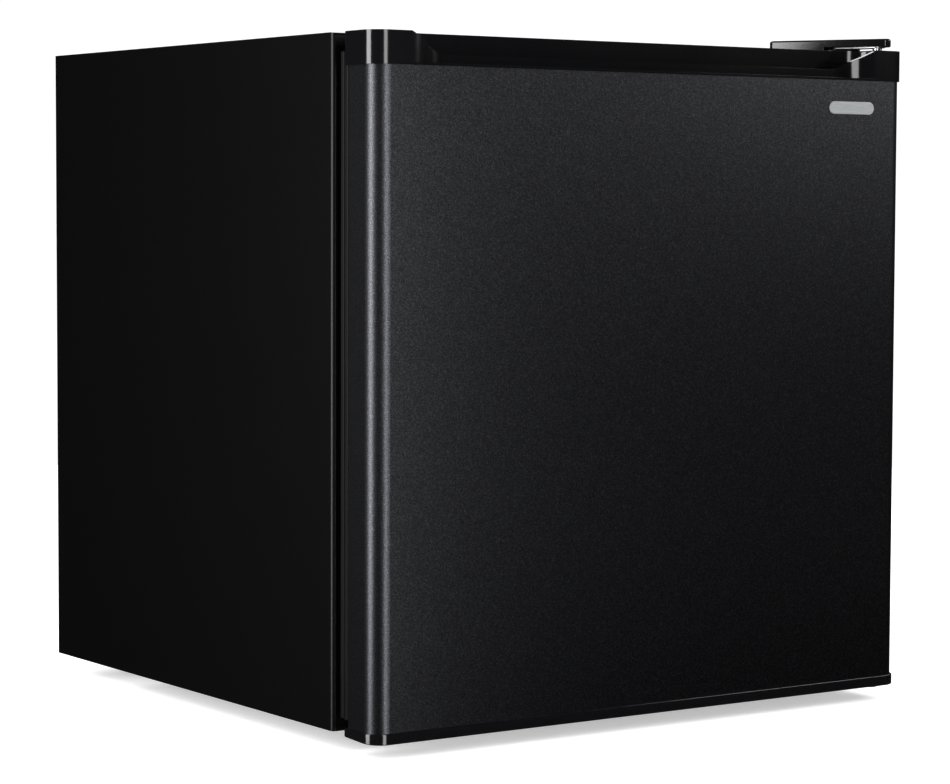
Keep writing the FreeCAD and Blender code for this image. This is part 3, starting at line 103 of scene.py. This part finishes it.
# see-through pieces
STREAK_SCALE = 60.0
STREAK_RELIEF = 0.00002
GLASS_IOR = 1.45

# rounding of the CAD edges
MERGE_DISTANCE = 1e-6
FLAT_ANGLE = 0.5
SHARP_ANGLE = 35.0
ROUND_SEGMENTS = 3


# --- camera ------------------------------------------------------------------
def make_camera():
    """Eye-level three-quarter view from the front left, a little above."""
    yaw = math.radians(CAMERA_YAW)
    pitch = math.radians(CAMERA_PITCH)
    roll = math.radians(CAMERA_ROLL)
    forward = Vector(
        (math.sin(yaw) * math.cos(pitch), math.cos(yaw) * math.cos(pitch), -math.sin(pitch))
    )
    level = Vector((math.cos(yaw), -math.sin(yaw), 0))
    upward = level.cross(forward)
    right = math.cos(roll) * level + math.sin(roll) * upward
    up = -math.sin(roll) * level + math.cos(roll) * upward
    data = bpy.data.cameras.new("camera")
    data.lens = LENS
    data.sensor_width = SENSOR
    data.clip_end = FAR_CLIP
    camera = bpy.data.objects.new("camera", data)
    turn = Matrix((right, up, -forward)).transposed().to_4x4()
    camera.matrix_world = Matrix.Translation(CAMERA_PLACE) @ turn
    bpy.context.collection.objects.link(camera)
    bpy.context.scene.camera = camera


# --- node material helpers -------------------------------------------------------
def new_material(name):
    material = bpy.data.materials.new(name)
    material.use_nodes = True
    tree = material.node_tree
    return material, tree, tree.nodes["Principled BSDF"]


def noise(tree, scale, detail=2.0, roughness=0.5, stretch=(1, 1, 1)):
    """Noise in object space: scale is in cycles per metre."""
    place = tree.nodes.new("ShaderNodeTexCoord")
    mapping = tree.nodes.new("ShaderNodeMapping")
    mapping.inputs["Scale"].default_value = stretch
    texture = tree.nodes.new("ShaderNodeTexNoise")
    texture.inputs["Scale"].default_value = scale
    texture.inputs["Detail"].default_value = detail
    texture.inputs["Roughness"].default_value = roughness
    tree.links.new(place.outputs["Object"], mapping.inputs["Vector"])
    tree.links.new(mapping.outputs["Vector"], texture.inputs["Vector"])
    return texture.outputs["Fac"]


def two_tones(tree, factor, dark, light):
    """Colour ramp from dark to light over the used part of a noise value's range."""
    return ramp(tree, factor, [(NOISE_LOW, dark), (NOISE_HIGH, light)])


def ramp(tree, factor, stops):
    """Colour ramp: stops are (position, (r, g, b))."""
    node = tree.nodes.new("ShaderNodeValToRGB")
    elements = node.color_ramp.elements
    while len(elements) < len(stops):
        elements.new(0.5)
    for element, (position, colour) in zip(elements, stops):
        element.position = position
        element.color = (*colour, 1)
    tree.links.new(factor, node.inputs["Fac"])
    return node.outputs["Color"]


def spread(tree, factor, low, high):
    """Maps the used part of a noise value's range to low..high."""
    node = tree.nodes.new("ShaderNodeMapRange")
    node.inputs["From Min"].default_value = NOISE_LOW
    node.inputs["From Max"].default_value = NOISE_HIGH
    node.inputs["To Min"].default_value = low
    node.inputs["To Max"].default_value = high
    tree.links.new(factor, node.inputs["Value"])
    return node.outputs["Result"]


def bump(tree, factor, distance, strength=1.0, below=None):
    """Relief of a height in metres, laid over the normal of the relief below it."""
    node = tree.nodes.new("ShaderNodeBump")
    node.inputs["Distance"].default_value = distance
    node.inputs["Strength"].default_value = strength
    tree.links.new(factor, node.inputs["Height"])
    if below is not None:
        tree.links.new(below, node.inputs["Normal"])
    return node.outputs["Normal"]


def finish_of(
    name, dark, light, rough, grain, relief, metal=0.0, level=0.5, stretch=(1, 1, 1), wave=0.0
):
    """A moulded, painted or metal finish: mottled colour, uneven gloss and fine relief."""
    material, tree, shader = new_material(name)
    fine = noise(tree, grain, 3.0, 0.6, stretch)
    broad = noise(tree, grain / BROAD_FACTOR, 2.0)
    tree.links.new(two_tones(tree, fine, dark, light), shader.inputs["Base Color"])
    tree.links.new(spread(tree, broad, rough[0], rough[1]), shader.inputs["Roughness"])
    normal = bump(tree, fine, relief)
    if wave:
        normal = bump(tree, noise(tree, WAVE_SCALE, 1.0), wave, 1.0, normal)
    tree.links.new(normal, shader.inputs["Normal"])
    shader.inputs["Metallic"].default_value = metal
    shader.inputs["Specular IOR Level"].default_value = level
    return material


# --- stage -------------------------------------------------------------------------
def flat_disc(name, radius):
    """Round plate on the ground, facing up."""
    mesh = bpy.data.meshes.new(name)
    form = bmesh.new()
    bmesh.ops.create_circle(form, cap_ends=True, segments=96, radius=radius)
    form.to_mesh(mesh)
    form.free()
    disc = bpy.data.objects.new(name, mesh)
    bpy.context.collection.objects.link(disc)
    return disc


def make_floor():
    """White paper floor with a faint glow, left out of the object's reflections."""
    floor = flat_disc("studio_floor", FLOOR_RADIUS)
    material, tree, shader = new_material("floor_paper")
    tone = two_tones(tree, noise(tree, 3.0), FLOOR_DARK, FLOOR_LIGHT)
    tree.links.new(tone, shader.inputs["Base Color"])
    shader.inputs["Roughness"].default_value = 0.9
    shader.inputs["Specular IOR Level"].default_value = 0.1
    shader.inputs["Emission Color"].default_value = (1, 1, 1, 1)
    shader.inputs["Emission Strength"].default_value = FLOOR_GLOW
    floor.data.materials.append(material)
    floor.visible_glossy = False


def make_world():
    """White surroundings that light the floor, kept dim in the object's reflections."""
    scene = bpy.context.scene
    world = bpy.data.worlds.new("studio")
    scene.world = world
    world.use_nodes = True
    tree = world.node_tree
    sky = tree.nodes["Background"]
    sky.inputs["Color"].default_value = (1, 1, 1, 1)
    path = tree.nodes.new("ShaderNodeLightPath")
    level = tree.nodes.new("ShaderNodeMapRange")
    level.inputs["To Min"].default_value = WORLD_LEVEL
    level.inputs["To Max"].default_value = WORLD_LEVEL_IN_GLOSS
    tree.links.new(path.outputs["Is Glossy Ray"], level.inputs["Value"])
    tree.links.new(level.outputs["Result"], sky.inputs["Strength"])
    scene.view_settings.view_transform = "Standard"
    scene.view_settings.look = "None"


def soft_box(name, aim, azimuth, height, distance, size, power):
    """Studio light aimed at a point: azimuth turns from the door's front towards its left."""
    data = bpy.data.lights.new(name, "AREA")
    data.shape = "RECTANGLE"
    data.size, data.size_y = size
    data.energy = power
    lamp = bpy.data.objects.new(name, data)
    turn = math.radians(azimuth)
    aim = Vector(aim)
    lamp.location = (
        aim.x - distance * math.sin(turn), aim.y - distance * math.cos(turn), height
    )
    look = aim - lamp.location
    lamp.rotation_euler = look.to_track_quat("-Z", "Y").to_euler()
    lamp.visible_camera = False
    bpy.context.collection.objects.link(lamp)


# --- pieces from the CAD forms ------------------------------------------------------
def soft_edged(node, width):
    """The CAD form of a node with its sharp edges rounded off; it replaces the node."""
    mesh = NODES[node].data.copy()
    form = bmesh.new()
    form.from_mesh(mesh)
    bmesh.ops.remove_doubles(form, verts=form.verts, dist=MERGE_DISTANCE)
    bmesh.ops.dissolve_limit(
        form, angle_limit=math.radians(FLAT_ANGLE), verts=form.verts, edges=form.edges
    )
    form.to_mesh(mesh)
    form.free()
    if "custom_normal" in mesh.attributes:
        mesh.attributes.remove(mesh.attributes["custom_normal"])
    piece = bpy.data.objects.new(node + "_finished", mesh)
    bpy.context.collection.objects.link(piece)
    rounder = piece.modifiers.new("edges", "BEVEL")
    rounder.width = width
    rounder.segments = ROUND_SEGMENTS
    rounder.limit_method = "ANGLE"
    rounder.angle_limit = math.radians(SHARP_ANGLE)
    rounder.harden_normals = True
    rounder.use_clamp_overlap = True
    mesh.shade_smooth()
    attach(piece, BODY_OF[node])
    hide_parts(node)


def paint(node, material):
    """Gives a CAD node its finish."""
    slots = NODES[node].data.materials
    slots.clear()
    slots.append(material)


# --- finishes ---------------------------------------------------------------------------
def flake_paint():
    """Charcoal metallic paint: fine pale flakes over a near-black base, softly sheened."""
    material, tree, shader = new_material("door_flake_paint")
    flakes = noise(tree, FLAKE_SCALE, 1.0, 0.6)
    tree.links.new(ramp(tree, flakes, FLAKE_STOPS), shader.inputs["Base Color"])
    tree.links.new(spread(tree, flakes, *FLAKE_ROUGH), shader.inputs["Roughness"])
    grain = bump(tree, flakes, FLAKE_RELIEF, 0.6)
    waves = noise(tree, PANEL_WAVE_SCALE, 1.0)
    tree.links.new(bump(tree, waves, PANEL_WAVE, 1.0, grain), shader.inputs["Normal"])
    shader.inputs["Metallic"].default_value = 1.0
    return material


def make_finishes():
    """Colours, roughness range, grain in cycles per metre and relief in metres of each finish."""
    f = {}
    f["flake"] = flake_paint()
    f["side"] = finish_of(
        "cabinet_enamel", (0.0006, 0.0006, 0.0007), (0.0012, 0.0012, 0.0014), (0.36, 0.37),
        900, 0.00002, level=0.25,
    )
    f["back"] = finish_of(
        "back_enamel", (0.004, 0.004, 0.0045), (0.007, 0.007, 0.0075), (0.46, 0.54),
        700, 0.00006, level=0.35, wave=0.0001,
    )
    f["gloss"] = finish_of(
        "gloss_moulding", (0.0016, 0.0016, 0.002), (0.0026, 0.0026, 0.003), (0.10, 0.15),
        500, 0.000006, wave=0.0001,
    )
    f["cover"] = finish_of(
        "hinge_cover_moulding", (0.002, 0.002, 0.0024), (0.004, 0.004, 0.0045), (0.10, 0.14),
        1400, 0.00002,
    )
    f["seal"] = finish_of(
        "seal_vinyl", (0.0015, 0.0015, 0.0017), (0.0025, 0.0025, 0.0027), (0.5, 0.62),
        900, 0.00005, level=0.2,
    )
    f["rubber"] = finish_of(
        "moulded_rubber", (0.010, 0.010, 0.010), (0.020, 0.020, 0.020), (0.7, 0.85), 1200, 0.0001
    )
    f["plastic"] = finish_of(
        "black_plastic", (0.012, 0.012, 0.013), (0.022, 0.022, 0.023), (0.4, 0.55), 1300, 0.00006
    )
    f["liner"] = finish_of(
        "liner_sheet", (0.60, 0.61, 0.61), (0.64, 0.65, 0.65), (0.28, 0.36), 420, 0.00003, wave=0.0001
    )
    f["white"] = finish_of(
        "white_moulding", (0.56, 0.57, 0.58), (0.61, 0.62, 0.63), (0.3, 0.38), 800, 0.00003
    )
    f["zinc"] = finish_of(
        "zinc_sheet", (0.36, 0.37, 0.38), (0.56, 0.57, 0.58), (0.28, 0.45), 60, 0.00003, metal=1.0
    )
    f["steel"] = finish_of(
        "plated_steel", (0.42, 0.42, 0.43), (0.60, 0.60, 0.61), (0.22, 0.34), 500, 0.00003, metal=1.0
    )
    f["copper"] = finish_of(
        "copper_tube", (0.48, 0.20, 0.11), (0.72, 0.36, 0.22), (0.2, 0.36), 90, 0.00002, metal=1.0
    )
    f["tube"] = finish_of(
        "coated_tube", (0.14, 0.14, 0.15), (0.24, 0.24, 0.25), (0.3, 0.45), 120, 0.00004, metal=0.8
    )
    f["pump"] = finish_of(
        "pump_enamel", (0.008, 0.008, 0.009), (0.016, 0.016, 0.017), (0.25, 0.4), 350, 0.00012, wave=0.0004
    )
    f["aluminium"] = finish_of(
        "rolled_aluminium", (0.58, 0.59, 0.61), (0.72, 0.73, 0.75), (0.3, 0.42), 260, 0.00004, metal=1.0,
        stretch=(1, 0.06, 1),
    )
    f["foam"] = finish_of(
        "rigid_foam", (0.55, 0.42, 0.20), (0.72, 0.60, 0.34), (0.8, 0.95), 900, 0.0004
    )
    f["badge"] = finish_of(
        "badge_satin", (0.26, 0.27, 0.28), (0.32, 0.33, 0.34), (0.3, 0.4), 900, 0.00002, metal=0.5,
        stretch=(0.1, 1, 1),
    )
    f["glass"] = glass_finish("shelf_glass_finish", (0.86, 0.96, 0.92), 0.03, 0.95)
    f["clear"] = glass_finish("frosted_moulding", (0.90, 0.94, 0.97), 0.32, 0.55)
    return f


def glass_finish(name, tint, rough, clear):
    """See-through sheet with faint streaks in its gloss."""
    material, tree, shader = new_material(name)
    streaks = noise(tree, STREAK_SCALE, 3.0, 0.6)
    pale = tuple(0.5 + 0.5 * value for value in tint)
    tree.links.new(two_tones(tree, streaks, tint, pale), shader.inputs["Base Color"])
    tree.links.new(spread(tree, streaks, rough, rough * 1.4 + 0.02), shader.inputs["Roughness"])
    tree.links.new(bump(tree, streaks, STREAK_RELIEF), shader.inputs["Normal"])
    shader.inputs["Transmission Weight"].default_value = clear
    shader.inputs["IOR"].default_value = GLASS_IOR
    return material


# which nodes wear each finish
NODE_FINISH = {
    "flake": "door_skin",
    "side": "outer_wrap",
    "back": "back_panel",
    "gloss": "door_top_cap door_bottom_cap",
    "cover": "top_hinge_cover",
    "seal": "door_gasket",
    "rubber": "grommets cord_gland door_magnet",
    "plastic": "start_relay overload_protector terminal_cover thermostat_body rear_feet "
    "levelling_foot_left levelling_foot_right hole_plugs fill_plug door_bushes",
    "liner": "inner_liner door_liner",
    "white": "freezer_frame drip_tray tray_rails thermostat_housing thermostat_knob "
    "shelf_front_trim shelf_rear_trim hanger_spacers",
    "zinc": "bottom_panel bay_plate base_rails top_hinge_bracket bottom_hinge_bracket",
    "steel": "panel_screws mount_bolts foot_nuts hinge_pins hinge_screws terminals",
    "copper": "condenser_lines suction_line process_tube filter_drier capillary_tube sensor_tube",
    "tube": "condenser_tubes",
    "pump": "compressor_feet compressor_lower_shell compressor_upper_shell",
    "aluminium": "evaporator",
    "foam": "cabinet_foam door_foam",
    "badge": "badge",
    "glass": "shelf_glass",
    "clear": "door_rack_lower door_rack_middle door_rack_upper freezer_flap",
}

# nodes whose edges are rounded, and the radius in millimetres
ROUNDED = (
    ("door_top_cap", 0.9), ("door_bottom_cap", 0.8), ("top_hinge_cover", 0.5), ("badge", 0.35),
    ("door_gasket", 1.0), ("drip_tray", 0.5), ("door_rack_lower", 0.7), ("door_rack_middle", 0.7),
    ("door_rack_upper", 0.7), ("shelf_front_trim", 0.5), ("shelf_rear_trim", 0.8),
    ("thermostat_housing", 0.6), ("thermostat_knob", 0.8), ("freezer_frame", 0.8),
    ("freezer_flap", 0.7), ("tray_rails", 0.4), ("terminal_cover", 0.6), ("start_relay", 1.0),
    ("bottom_hinge_bracket", 0.4), ("top_hinge_bracket", 0.4), ("base_rails", 0.4),
    ("levelling_foot_left", 0.8), ("levelling_foot_right", 0.8), ("rear_feet", 0.8),
    ("cord_gland", 0.5), ("grommets", 0.8), ("hole_plugs", 0.4), ("fill_plug", 0.4),
    ("filter_drier", 1.0), ("shelf_glass", 0.8), ("overload_protector", 0.8),
)


def paint_nodes():
    finishes = make_finishes()
    for finish, members in NODE_FINISH.items():
        for member in members.split():
            paint(member, finishes[finish])


def round_edges():
    for node, radius in ROUNDED:
        soft_edged(node, radius * MM)


make_camera()
make_floor()
make_world()
for lamp_facts in LAMPS:
    soft_box(*lamp_facts)
paint_nodes()
round_edges()
